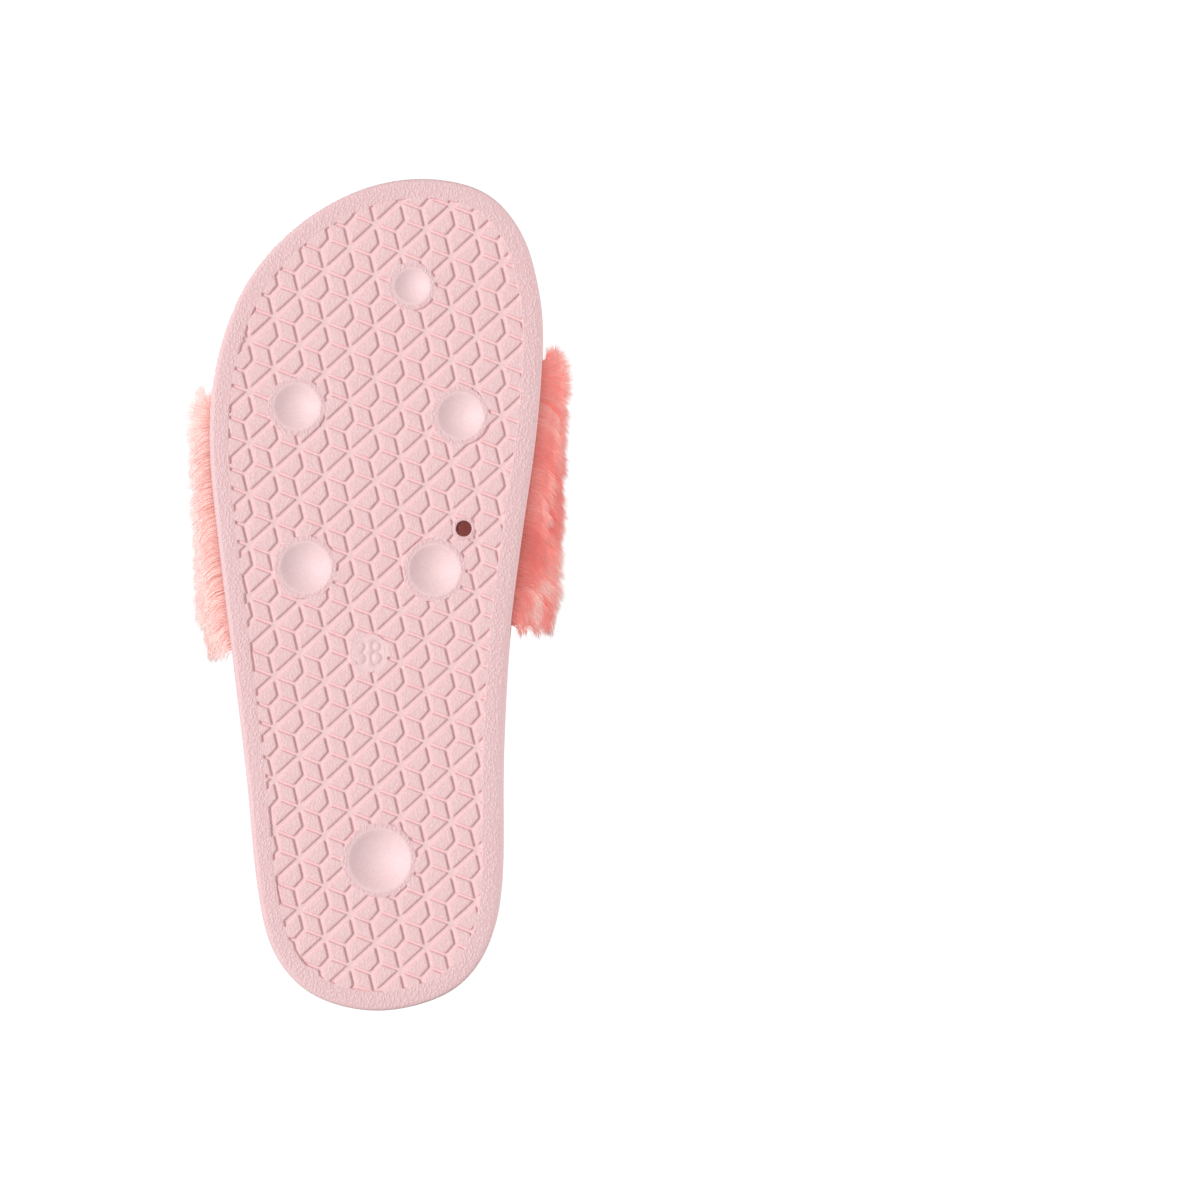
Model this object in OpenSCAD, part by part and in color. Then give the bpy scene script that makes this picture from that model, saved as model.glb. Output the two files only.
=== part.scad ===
// Open-toe, open-heel slide slipper for the right foot: a moulded foam sole with a
// patterned tread, a contoured footbed, and a padded strap covered in plush.
// The sole rests on z = 0 with its toe toward -Y; +X is the inner (big toe) side.

/* [Sole] */
// Length of the outsole from toe to heel
sole_length = 250; // [235:1:265]
// Width of the outsole at the ball of the foot
sole_width = 100; // [95:1:106]
// Height of the rim at the toe
toe_height = 19; // [17:0.5:23]
// How much higher the rim stands at the heel than at the toe
heel_lift = 9; // [4:0.5:13]
// Width of the rim around the footbed
rim_width = 6.3; // [6:0.1:7]
// Depth of the recess that holds the footbed
recess_depth = 6; // [4:0.5:7]
// Thickness of the footbed
footbed_thickness = 5; // [3:0.5:6]
// Height of the rounding along the bottom edge
edge_round = 1.6; // [0.8:0.1:2.4]

/* [Tread] */
// Depth of a tread dimple as a share of its radius
dimple_depth_share = 0.36; // [0.2:0.01:0.5]
// Radius of the hole for the tie that joins a pair
tie_hole_r = 2.4; // [1.8:0.1:2.6]

/* [Strap] */
// Inner width from the middle line to the inner side of the arch
arch_medial = 43.3; // [41:0.1:45]
// Inner width from the middle line to the outer side of the arch
arch_lateral = 45.6; // [43:0.1:47]
// Height of the lining over the floor at the strap's front edge
arch_front_height = 61; // [57:1:70]
// Height of the lining over the floor at the strap's rear edge
arch_rear_height = 69; // [64:1:78]
// Height at which the strap stands in the sole
strap_foot_height = 8.3; // [7:0.1:9]
// Thickness of the knitted lining
lining_thickness = 0.8; // [0.5:0.1:1.2]
// Thickness of the stiffener
stiffener_thickness = 1; // [0.6:0.1:1.4]
// Thickness of the foam padding
foam_thickness = 2.5; // [1.5:0.1:2.8]
// Height of the plush cover, backing and pile together
plush_height = 9.2; // [6:0.1:12]
// How far the pile stands out past the strap's edges
plush_overhang = 7; // [3:0.5:9]
// Width of the tape that binds each edge
binding_width = 1.5; // [1:0.1:2]

/* [Anchor tabs] */
// Length of the tongue that reaches in under the footbed
tongue_length = 7; // [5:0.5:8]
// Thickness of the tongue
tongue_thickness = 2; // [1.5:0.1:2.4]

/* [Stitching] */
// Length of one stitch
stitch_length = 3.2; // [2:0.1:4]
// Thread radius
thread_r = 0.35; // [0.25:0.05:0.45]

/* [Hidden] */
$fn = 64;

gap = 0.2;
high = 60;
wide = 80;
sole_pink = [0.93, 0.78, 0.79];
footbed_pink = [0.92, 0.74, 0.75];
plush_peach = [0.95, 0.68, 0.64];
lining_pink = [0.93, 0.80, 0.80];
board_white = [0.93, 0.92, 0.90];
foam_cream = [0.96, 0.93, 0.82];
tape_pink = [0.90, 0.66, 0.66];
thread_pink = [0.97, 0.88, 0.88];

// The outline's control points in the pattern size, counterclockwise from the toe
pattern_length = 250.2;
pattern_width = 99.8;
outline_controls = [
    [12, -125], [31, -121.3], [42.5, -109.3], [48, -91.5], [49, -73], [47, -47],
    [42.5, -15], [39, 14], [37, 50], [36.5, 88], [32, 107.5], [20.5, 120],
    [0, 125.2], [-19.5, 120.5], [-31.5, 107.5], [-36.5, 87], [-39.5, 56], [-43.5, 22],
    [-47.5, -11], [-50.6, -42], [-49.2, -67], [-41.5, -90.5], [-27.5, -108.3], [-8, -120.7]];
outline_steps = 4;

// The rounding of the bottom edge: [share of its height, share of its inset], and straight up from there
edge_profile = [[0, 1], [0.3, 0.45], [1, 0]];

// Each tread dimple's centre and radius: toe, ball, arch and heel
dimples = [[10, -92.5, 5.2], [-24.6, -56.4, 6.75], [24.5, -53.6, 6.75],
           [-22, -8.1, 7.5], [16.7, -7.4, 7.5], [0.2, 79.7, 9.2]];
tie_hole = [25.5, -19.8];

// The sole rises from the arch to the heel between these two places
rise_start = -8;
rise_end = 78;
rise_steps = 14;

// The strap's front and rear edges where it meets the sole, and their bow over the foot
front_medial = -70.5;
front_lateral = -58;
front_bow = 5;
rear_medial = 9.5;
rear_lateral = 17;
rear_bow = -13;

// The arch: squareness of its curve, height of its bulge, and its mesh
arch_power = 0.86;
bulge_height = 22;
arch_steps = 32;
strap_rows = 10;
plush_rows = 18;
plush_power = 0.4;
plush_foot = 0.4;

strap_body = lining_thickness + stiffener_thickness + foam_thickness;
strap_inset = 5;
tab_leg = 1;
tab_leg_top = 17;
tab_end_gap = 2;
stitch_pitch = 5.2;
stitch_edge = 2.6;
stitch_start = 0.13;
// The arch's length, from its width and its height
arch_per_width = 1.3;
arch_per_height = 0.5;

function pattern(p) = [p[0] * sole_width / pattern_width, p[1] * sole_length / pattern_length];

function spline(a, b, c, d, t) =
    0.5 * (2 * b + (c - a) * t + (2 * a - 5 * b + 4 * c - d) * t ^ 2
           + (3 * b - a - 3 * c + d) * t ^ 3);

function closed_spline(p, steps) =
    let (n = len(p))
    [for (i = [0:n - 1], k = [0:steps - 1])
        spline(p[(i + n - 1) % n], p[i], p[(i + 1) % n], p[(i + 2) % n], k / steps)];

outline = closed_spline([for (p = outline_controls) pattern(p)], outline_steps);

// The outline moved inward by d along its normals
function inset(d) =
    let (n = len(outline))
    [for (i = [0:n - 1])
        let (along = outline[(i + 1) % n] - outline[(i + n - 1) % n])
        outline[i] + d * [-along[1], along[0]] / norm(along)];

medial_edge = [for (p = outline) if (p[0] > 0) [p[1], p[0]]];
lateral_edge = [for (p = outline) if (p[0] < 0) [p[1], p[0]]];

function edge_x(y, side) = lookup(y, side > 0 ? medial_edge : lateral_edge);

function smooth(t) = let (c = min(max(t, 0), 1)) c * c * (3 - 2 * c);

function rim_height(y) = toe_height + heel_lift * smooth((y - rise_start) / (rise_end - rise_start));

function mix(a, b, t) = a * (1 - t) + b * t;

// A closed solid through rings of points, each ring counterclockwise seen from the next one
module loft(rings) {
    n = len(rings[0]);
    last = (len(rings) - 1) * n;
    sides = [for (j = [0:len(rings) - 2], i = [0:n - 1])
        let (a = j * n + i, b = j * n + (i + 1) % n)
        each [[a, a + n, b + n], [a, b + n, b]]];
    ends = [[for (i = [0:n - 1]) i], [for (i = [n - 1:-1:0]) last + i]];
    polyhedron([for (r = rings) each r], concat(ends, sides));
}

// The space between two heights over or under the rim line, all along the sole
module rim_band(low, top) {
    ys = [-sole_length, for (k = [0:rise_steps]) mix(rise_start, rise_end, k / rise_steps), sole_length];
    upper = [for (y = ys) [y, rim_height(y) + top]];
    lower = [for (k = [len(ys) - 1:-1:0]) [ys[k], rim_height(ys[k]) + low]];
    rotate([90, 0, 90])
        linear_extrude(2 * wide, center = true)
            polygon(concat(upper, lower));
}

module inset_prism(d) {
    linear_extrude(high)
        polygon(inset(d));
}

// The stretch of the strap's foot on one side of the sole; side is 1 for medial, -1 for lateral
module foot_stretch(side, margin) {
    front = (side > 0 ? front_medial : front_lateral) - margin;
    rear = (side > 0 ? rear_medial : rear_lateral) + margin;
    translate([side > 0 ? 0 : -wide, front, 0])
        cube([wide, rear - front, high]);
}

module sole_blank() {
    loft([for (h = concat(edge_profile, [[high / edge_round, 0]]))
        [for (p = inset(edge_round * h[1])) [p[0], p[1], edge_round * h[0]]]]);
}

module dimple(x, y, r) {
    depth = dimple_depth_share * r;
    ball_r = (r ^ 2 + depth ^ 2) / (2 * depth);
    centre = pattern([x, y]);
    translate([centre[0], centre[1], depth - ball_r])
        sphere(ball_r);
}

module tie_bore() {
    centre = pattern(tie_hole);
    translate([centre[0], centre[1], -1])
        cylinder(r = tie_hole_r, h = high);
}

module outsole() {
    seat = strap_foot_height - gap;
    color(sole_pink)
        difference() {
            intersection() {
                sole_blank();
                rim_band(-high, 0);
            }
            intersection() {
                inset_prism(rim_width);
                rim_band(-recess_depth, high);
            }
            for (side = [1, -1]) {
                intersection() {
                    foot_stretch(side, gap);
                    difference() {
                        translate([-wide, -sole_length, seat])
                            cube([2 * wide, 2 * sole_length, high]);
                        inset_prism(rim_width);
                    }
                }
                intersection() {
                    foot_stretch(side, gap - tab_end_gap);
                    difference() {
                        translate([-wide, -sole_length, seat])
                            cube([2 * wide, 2 * sole_length, tongue_thickness + 2 * gap]);
                        inset_prism(rim_width + tongue_length + gap);
                    }
                }
            }
            for (d = dimples)
                dimple(d[0], d[1], d[2]);
            tie_bore();
        }
}

module footbed() {
    color(footbed_pink)
        difference() {
            intersection() {
                inset_prism(rim_width + gap);
                rim_band(-recess_depth, footbed_thickness - recess_depth);
            }
            tie_bore();
        }
}

// The strap's edges in plan at a place along the arch, 0 at the medial foot and 1 at the lateral
function edge_y(u, medial, lateral, bow) = mix(lateral, medial, (1 + cos(180 * u)) / 2) + bow * sin(180 * u);
function front_y(u) = edge_y(u, front_medial, front_lateral, front_bow);
function rear_y(u) = edge_y(u, rear_medial, rear_lateral, rear_bow);

// A point of the strap: u along the arch, y along the foot, and d out from the lining's inner face
function strap_point(u, y, d) =
    let (side = u < 0.5 ? 1 : -1,
         lean = smooth((y - front_medial) / (rear_lateral - front_medial)),
         top = mix(arch_front_height, arch_rear_height, lean),
         z = strap_foot_height + (top - strap_foot_height) * sin(180 * u) ^ arch_power,
         pull = max(0, 1 - (z - strap_foot_height) / bulge_height) ^ 2,
         arch = side > 0 ? arch_medial : -arch_lateral,
         half = mix(arch, edge_x(y, side) - side * strap_inset, pull),
         x = half * abs(cos(180 * u)) ^ arch_power)
    [x + d * cos(180 * u), y, z + d * sin(180 * u)];

// A solid that follows the strap; each ring point is [share of the strap's width, shift, d]
module along_strap(ring) {
    loft([for (k = [0:arch_steps])
        let (u = k / arch_steps)
        [for (q = ring) strap_point(u, mix(front_y(u), rear_y(u), q[0]) + q[1], q[2])]]);
}

// A strap layer from d0 to d1, drawn in from both edges by the binding's width
module strap_layer(d0, d1) {
    along_strap(concat(
        [for (k = [0:strap_rows]) [k / strap_rows, binding_width * (1 - 2 * k / strap_rows), d1]],
        [for (k = [strap_rows:-1:0]) [k / strap_rows, binding_width * (1 - 2 * k / strap_rows), d0]]));
}

module strap_lining() {
    color(lining_pink)
        strap_layer(0, lining_thickness);
}

module strap_stiffener() {
    color(board_white)
        strap_layer(lining_thickness, lining_thickness + stiffener_thickness);
}

module foam_padding() {
    color(foam_cream)
        strap_layer(lining_thickness + stiffener_thickness, strap_body);
}

module fur_cover() {
    step = strap_inset + plush_foot;
    top = strap_body + plush_height;
    crown = [for (k = [0:plush_rows])
        let (a = 180 * k / plush_rows)
        [(1 - cos(a)) / 2, -plush_overhang * cos(a), step + (top - step) * abs(sin(a)) ^ plush_power]];
    under = [for (k = [strap_rows:-1:0]) [k / strap_rows, 0, strap_body]];
    color(plush_peach)
        along_strap(concat(crown, [[1, 0, step]], under, [[0, 0, step]]));
}

// One binding tape; share is 0 for the front edge and 1 for the rear edge
module binding(share) {
    from = share > 0 ? -binding_width : 0;
    color(tape_pink)
        along_strap([[share, from, strap_body], [share, from + binding_width, strap_body],
                     [share, from + binding_width, 0], [share, from, 0]]);
}

module front_binding() {
    binding(0);
}

module rear_binding() {
    binding(1);
}

module thread_between(a, b) {
    run = b - a;
    translate(a)
        rotate([0, acos(run[2] / norm(run)), atan2(run[1], run[0])])
            cylinder(r = thread_r, h = norm(run), $fn = 16);
}

// A row of stitches on the lining, beside the front edge (share 0) or the rear edge (share 1)
module stitching(share) {
    arch_length = arch_per_width * (arch_medial + arch_lateral) + arch_per_height * arch_front_height;
    count = floor(arch_length * (1 - 2 * stitch_start) / stitch_pitch);
    shift = share > 0 ? -stitch_edge : stitch_edge;
    color(thread_pink)
        for (k = [0:count - 1]) {
            start = mix(stitch_start, 1 - stitch_start, k / count);
            end = start + stitch_length / stitch_pitch * (1 - 2 * stitch_start) / count;
            thread_between(
                strap_point(start, mix(front_y(start), rear_y(start), share) + shift, -thread_r - gap),
                strap_point(end, mix(front_y(end), rear_y(end), share) + shift, -thread_r - gap));
        }
}

module front_stitching() {
    stitching(0);
}

module rear_stitching() {
    stitching(1);
}

// An L-shaped tab: a leg against the lining and a tongue in the sole's slot
module anchor_tab(side) {
    front = (side > 0 ? front_medial : front_lateral) + tab_end_gap;
    rear = (side > 0 ? rear_medial : rear_lateral) - tab_end_gap;
    out = strap_inset + gap / 2;
    low = strap_foot_height;
    profile = [[out, low], [out, tab_leg_top], [out + tab_leg, tab_leg_top],
               [out + tab_leg, low + tongue_thickness],
               [out + tab_leg + tongue_length, low + tongue_thickness],
               [out + tab_leg + tongue_length, low]];
    ring = side > 0 ? profile : [for (k = [len(profile) - 1:-1:0]) profile[k]];
    color(board_white)
        loft([for (k = [0:strap_rows])
            let (y = mix(front, rear, k / strap_rows))
            [for (p = ring) [edge_x(y, side) - side * p[0], y, p[1]]]]);
}

module anchor_tab_medial() {
    anchor_tab(1);
}

module anchor_tab_lateral() {
    anchor_tab(-1);
}

outsole();
footbed();
anchor_tab_medial();
anchor_tab_lateral();
strap_lining();
strap_stiffener();
foam_padding();
fur_cover();
front_binding();
rear_binding();
front_stitching();
rear_stitching();
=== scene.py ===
"""Looks for the fluffy slide slipper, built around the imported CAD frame. Lengths are in millimetres."""

import math

import bmesh
import bpy
import numpy as np
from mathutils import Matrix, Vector
from mathutils.geometry import delaunay_2d_cdt


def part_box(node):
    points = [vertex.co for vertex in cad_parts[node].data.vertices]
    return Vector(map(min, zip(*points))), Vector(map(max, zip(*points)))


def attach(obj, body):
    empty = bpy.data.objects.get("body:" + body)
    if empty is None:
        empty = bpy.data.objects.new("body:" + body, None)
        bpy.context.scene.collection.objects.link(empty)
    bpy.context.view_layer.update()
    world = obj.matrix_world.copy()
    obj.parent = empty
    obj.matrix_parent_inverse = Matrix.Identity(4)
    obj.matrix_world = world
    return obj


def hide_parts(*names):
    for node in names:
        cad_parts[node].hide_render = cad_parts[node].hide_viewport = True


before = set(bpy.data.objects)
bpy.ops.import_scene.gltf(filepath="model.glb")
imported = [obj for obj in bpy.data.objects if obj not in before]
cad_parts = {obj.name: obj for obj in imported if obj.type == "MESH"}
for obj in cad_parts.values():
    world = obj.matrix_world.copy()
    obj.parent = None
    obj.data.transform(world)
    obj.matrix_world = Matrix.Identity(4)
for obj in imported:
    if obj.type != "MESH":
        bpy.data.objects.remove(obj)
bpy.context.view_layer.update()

MM = 0.001
SEED = 38
# The name of the map that a bake would use
MAP = "OFBake"


# ---- the sole's outline, cut from the CAD node

COLUMNS = 480
CUT_HEIGHT = 5.0


def cut_outline(node, height):
    """The outer line of a CAD node at a height, counterclockwise seen from above."""
    bm = bmesh.new()
    bm.from_mesh(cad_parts[node].data)
    cut = bmesh.ops.bisect_plane(
        bm,
        geom=bm.verts[:] + bm.edges[:] + bm.faces[:],
        plane_co=(0, 0, height * MM),
        plane_no=(0, 0, 1),
    )
    found = [v.co for v in cut["geom_cut"] if isinstance(v, bmesh.types.BMVert)]
    xy = np.unique(np.round([[c.x / MM, c.y / MM] for c in found], 3), axis=0)
    bm.free()
    centre = (xy.min(0) + xy.max(0)) / 2
    reach = (xy.max(0) - xy.min(0)) / 2
    outer = xy[np.hypot(*((xy - centre) / reach).T) > 0.7]
    turn = np.arctan2(outer[:, 1] - centre[1], outer[:, 0] - centre[0])
    return outer[np.argsort(turn)]


def resample(loop, count):
    closed = np.vstack([loop, loop[:1]])
    along = np.concatenate([[0], np.cumsum(np.hypot(*np.diff(closed, axis=0).T))])
    at = np.linspace(0, along[-1], count, endpoint=False)
    return np.stack([np.interp(at, along, closed[:, k]) for k in (0, 1)], 1)


def soften(loop, rounds):
    for _ in range(rounds):
        loop = 0.25 * np.roll(loop, 1, 0) + 0.5 * loop + 0.25 * np.roll(loop, -1, 0)
    return loop


outline = soften(resample(cut_outline("outsole", CUT_HEIGHT), COLUMNS), 3)


def inward_normals(loop):
    along = np.roll(loop, -1, 0) - np.roll(loop, 1, 0)
    return np.stack([-along[:, 1], along[:, 0]], 1) / np.hypot(*along.T)[:, None]


def side_line(side):
    """The outline's y and x on one side, in the order of y."""
    half = outline[outline[:, 0] * side > 0]
    return half[np.argsort(half[:, 1])].T[::-1]


medial_line, lateral_line = side_line(1), side_line(-1)


def edge_x(y, side):
    ys, xs = medial_line if side > 0 else lateral_line
    return np.interp(y, ys, xs)


def inside_depth(points, loop):
    """How far each point lies inside a closed loop, negative outside it."""
    a, b = loop, np.roll(loop, -1, 0)
    run = b - a
    best = np.full(len(points), 1e9)
    sign = np.ones(len(points))
    for k in range(len(a)):
        rel = points - a[k]
        t = np.clip((rel @ run[k]) / (run[k] @ run[k]), 0, 1)
        off = rel - t[:, None] * run[k]
        d = np.hypot(off[:, 0], off[:, 1])
        near = d < best
        best[near] = d[near]
        cross = run[k, 0] * rel[:, 1] - run[k, 1] * rel[:, 0]
        sign[near] = np.where(cross[near] >= 0, 1, -1)
    return best * sign


# ---- heights of the sole, as in the CAD

TOE_HEIGHT = 19.0
HEEL_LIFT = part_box("outsole")[1][2] / MM - TOE_HEIGHT
RISE = (-8.0, 78.0)
RECESS_DEPTH = 6.0
RIM_WIDTH = 6.3


def smooth(t):
    t = np.clip(t, 0, 1)
    return t * t * (3 - 2 * t)


def rim_height(y):
    return TOE_HEIGHT + HEEL_LIFT * smooth((y - RISE[0]) / (RISE[1] - RISE[0]))


# ---- mesh and material helpers


def make_mesh(name, points, faces, uv=None, tone=None):
    """A smooth mesh object from points and a list of face arrays; uv is one pair for each face corner."""
    faces = [np.asarray(f, np.int32) for f in faces if len(f)]
    loops = np.concatenate([f.ravel() for f in faces])
    sizes = np.concatenate([np.full(len(f), f.shape[1]) for f in faces])
    starts = np.concatenate([[0], np.cumsum(sizes)[:-1]])
    me = bpy.data.meshes.new(name)
    me.vertices.add(len(points))
    metres = (np.asarray(points, np.float64) * MM).astype(np.float32)
    me.vertices.foreach_set("co", metres.ravel())
    me.loops.add(len(loops))
    me.loops.foreach_set("vertex_index", loops.astype(np.int32))
    me.polygons.add(len(sizes))
    me.polygons.foreach_set("loop_start", starts.astype(np.int32))
    me.update(calc_edges=True)
    me.validate()
    if uv is not None:
        layer = me.uv_layers.new(name=MAP)
        layer.data.foreach_set("uv", np.asarray(uv, np.float32).ravel())
    if tone is not None:
        layer = me.attributes.new("tone", "FLOAT_COLOR", "POINT")
        rgba = np.ones((len(points), 4), np.float32)
        rgba[:, : tone.shape[1]] = tone
        layer.data.foreach_set("color", rgba.ravel())
    me.polygons.foreach_set("use_smooth", np.ones(len(sizes), bool))
    ob = bpy.data.objects.new(name, me)
    bpy.context.scene.collection.objects.link(ob)
    return ob


def dress(ob, material, replaces=()):
    ob.data.materials.clear()
    ob.data.materials.append(material)
    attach(ob, "root")
    if replaces:
        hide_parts(*replaces)
    return ob


def linear(rgb):
    """An sRGB colour from 0 to 255 as linear RGBA."""
    c = np.array(rgb, float) / 255
    return (*np.where(c <= 0.04045, c / 12.92, ((c + 0.055) / 1.055) ** 2.4), 1.0)


class Shader:
    """A material's node tree, with short ways to add and join nodes."""

    def __init__(self, name, roughness, specular=0.5, sheen=0.0):
        self.material = bpy.data.materials.new(name)
        self.material.use_nodes = True
        self.tree = self.material.node_tree
        self.bsdf = self.tree.nodes["Principled BSDF"]
        self.bsdf.inputs["Roughness"].default_value = roughness
        self.bsdf.inputs["Specular IOR Level"].default_value = specular
        if sheen:
            self.bsdf.inputs["Sheen Weight"].default_value = sheen
            self.bsdf.inputs["Sheen Roughness"].default_value = 0.5

    def add(self, kind, **settings):
        node = self.tree.nodes.new("ShaderNode" + kind)
        inputs = settings.pop("inputs", {})
        for key, value in settings.items():
            setattr(node, key, value)
        for key, value in inputs.items():
            if isinstance(value, bpy.types.NodeSocket):
                self.tree.links.new(value, node.inputs[key])
            else:
                node.inputs[key].default_value = value
        return node

    def math(self, operation, a, b):
        return self.add("Math", operation=operation, inputs={0: a, 1: b}).outputs[0]

    def mix(self, share, a, b, blend="MIX"):
        inputs = {0: share, 6: a, 7: b}
        return self.add("Mix", data_type="RGBA", blend_type=blend, inputs=inputs).outputs[2]

    def spread(self, value, low, high, out_low=0.0, out_high=1.0):
        inputs = {0: value, 1: low, 2: high, 3: out_low, 4: out_high}
        return self.add("MapRange", clamp=True, inputs=inputs).outputs[0]

    def grade(self, value, low, high, first, second, most=1.0):
        """The first colour at low and below, mixed towards the second one up to high."""
        return self.mix(self.spread(value, low, high, 0.0, most), first, second)

    def place(self, scale=(1, 1, 1)):
        here = self.add("TexCoord").outputs["Object"]
        return self.add("Mapping", inputs={"Vector": here, "Scale": scale}).outputs[0]

    def map(self):
        return self.add("UVMap", uv_map=MAP).outputs[0]

    def noise(self, scale, detail=2.0, where=None):
        inputs = {"Vector": where or self.place(), "Scale": scale, "Detail": detail}
        return self.add("TexNoise", inputs=inputs).outputs["Fac"]

    def cells(self, scale, where=None):
        inputs = {"Vector": where or self.place(), "Scale": scale}
        return self.add("TexVoronoi", inputs=inputs).outputs["Distance"]

    def wave(self, direction, where, scale, distortion=0.0, detail_scale=1.0):
        inputs = {0: where, "Scale": scale, "Distortion": distortion, "Detail Scale": detail_scale}
        return self.add("TexWave", bands_direction=direction, inputs=inputs).outputs["Fac"]

    def colour(self, value):
        self.tree.links.new(value, self.bsdf.inputs["Base Color"])

    def rough(self, value):
        self.tree.links.new(value, self.bsdf.inputs["Roughness"])

    def bump(self, height, distance):
        node = self.add("Bump", inputs={"Height": height, "Distance": distance, "Strength": 1.0})
        self.tree.links.new(node.outputs[0], self.bsdf.inputs["Normal"])


# ---- the tread's pattern

# The repeat of the tile pattern: two steps of the lattice, and the two inner corners of a cell
LATTICE_AT = np.array([6.69, -56.48])
STEP_U = np.array([7.59, 8.43])
STEP_V = np.array([0.0, 15.4])
CORNER_1 = np.array([1.44, 6.06])
CORNER_2 = np.array([6.15, 2.40])
ZERO = np.zeros(2)
FAR = STEP_V - STEP_U
# Half of a channel's width, by its direction: steep, level, slanting, and the short slanting link
STEEP, LEVEL, SLANT, LINK = 0.60, 0.37, 0.80, 0.70
CELL_EDGES = [
    (ZERO, CORNER_1, STEEP),
    (ZERO, CORNER_2, LEVEL),
    (CORNER_1, STEP_U, LEVEL),
    (CORNER_2, STEP_U, STEEP),
    (ZERO, FAR, SLANT),
    (CORNER_1, FAR + CORNER_2, LINK),
]
CELL_TILES = [
    ([ZERO, CORNER_2, STEP_U, CORNER_1], [LEVEL, STEEP, LEVEL, STEEP]),
    ([ZERO, CORNER_1, FAR + CORNER_2, FAR], [STEEP, LINK, LEVEL, SLANT]),
    ([CORNER_1, STEP_U, STEP_V, FAR + CORNER_2], [LEVEL, SLANT, STEEP, LINK]),
]
CHANNEL_DEPTH = 0.75
# How far a point lies inside a channel's wall line, and the height there
WALL = np.array([[-1.2, 0.0], [-0.45, 0.015], [-0.15, 0.07], [0.06, 0.69], [0.20, CHANNEL_DEPTH]])
TILE_ROUNDING = 0.35
# How far into the border or a ring a tile's line is still drawn
LAND_KEPT = -0.9
FIELD_INSET = 6.0
RING_WIDTH = 2.1

# Each tread dimple's centre and radius, as in the CAD
DIMPLES = [
    (10, -92.5, 5.2),
    (-24.6, -56.4, 6.75),
    (24.5, -53.6, 6.75),
    (-22, -8.1, 7.5),
    (16.7, -7.4, 7.5),
    (0.2, 79.7, 9.2),
]
DIMPLE_SHARE = 0.36
DIMPLE_LIP = 0.16
TIE_HOLE = np.array([25.555, -19.784])
TIE_RADIUS = 2.4
TIE_RING = 3.7
DISC_AT = np.array([-2.9, 17.5])
DISC_RADIUS = 6.0
DISC_DEPTH = 0.10
DIGIT_HALF = 0.30
DIGIT_DEPTH = 0.38
EDGE_ROUND = 1.6

field_loop = outline + FIELD_INSET * inward_normals(outline)
holes = [(np.array(d[:2]), d[2] + RING_WIDTH) for d in DIMPLES]
holes += [(TIE_HOLE, TIE_RING), (DISC_AT, DISC_RADIUS)]


def circle(centre, radius, count):
    a = np.linspace(0, 2 * math.pi, count, endpoint=False)
    return np.stack([centre[0] + radius * np.cos(a), centre[1] + radius * np.sin(a)], 1)


def segment_distance(points, a, b):
    run = b - a
    rel = points - a
    t = np.clip((rel @ run) / (run @ run), 0, 1)
    off = rel - t[:, None] * run
    return np.hypot(off[:, 0], off[:, 1])


def channel_depth(points):
    """How far each point is inside the pattern's channels, negative on the tiles."""
    back = np.linalg.inv(np.stack([STEP_U, STEP_V], 1))
    cell = np.floor((points - LATTICE_AT) @ back.T)
    local = points - LATTICE_AT - cell[:, :1] * STEP_U - cell[:, 1:] * STEP_V
    best = np.full(len(points), -1e9)
    for i in (-1, 0, 1):
        for j in (-1, 0, 1):
            move = i * STEP_U + j * STEP_V
            for a, b, half in CELL_EDGES:
                best = np.maximum(best, half - segment_distance(local, a + move, b + move))
    return best


def border_depth(points):
    """How far each point is inside the tiled field, negative on the border and the rings."""
    depth = inside_depth(points, field_loop)
    for centre, radius in holes:
        depth = np.minimum(depth, np.hypot(*(points - centre).T) - radius)
    return depth


def wall_height(depth):
    return np.interp(depth, WALL[:, 0], WALL[:, 1])


def rounded_inset(quad, by):
    """A four-sided tile drawn in by a distance on each side, with rounded corners; counterclockwise."""
    run = np.roll(quad, -1, 0) - quad
    run /= np.hypot(*run.T)[:, None]
    normal = np.stack([-run[:, 1], run[:, 0]], 1)
    corners = []
    for k in range(4):
        j = (k - 1) % 4
        m = np.array([normal[j], normal[k]])
        rhs = np.array([normal[j] @ quad[k] + by[j], normal[k] @ quad[k] + by[k]])
        corners.append(np.linalg.solve(m, rhs))
    corners = np.array(corners)
    side = np.hypot(*(np.roll(corners, -1, 0) - corners).T)
    out = []
    for k in range(4):
        before, after = corners[(k - 1) % 4], corners[(k + 1) % 4]
        cut = min(TILE_ROUNDING, 0.4 * side[k], 0.4 * side[(k - 1) % 4])
        a = corners[k] + (before - corners[k]) / side[(k - 1) % 4] * cut
        b = corners[k] + (after - corners[k]) / side[k] * cut
        for t in (0.0, 0.5, 1.0):
            out.append((1 - t) ** 2 * a + 2 * t * (1 - t) * corners[k] + t * t * b)
    return np.array(out)


def split_sides(loop, longest):
    """A closed loop with its long sides cut into short ones."""
    out = []
    for a, b in zip(loop, np.roll(loop, -1, 0)):
        parts = max(1, math.ceil(np.hypot(*(b - a)) / longest))
        out += [a + (b - a) * k / parts for k in range(parts)]
    return np.array(out)


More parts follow.
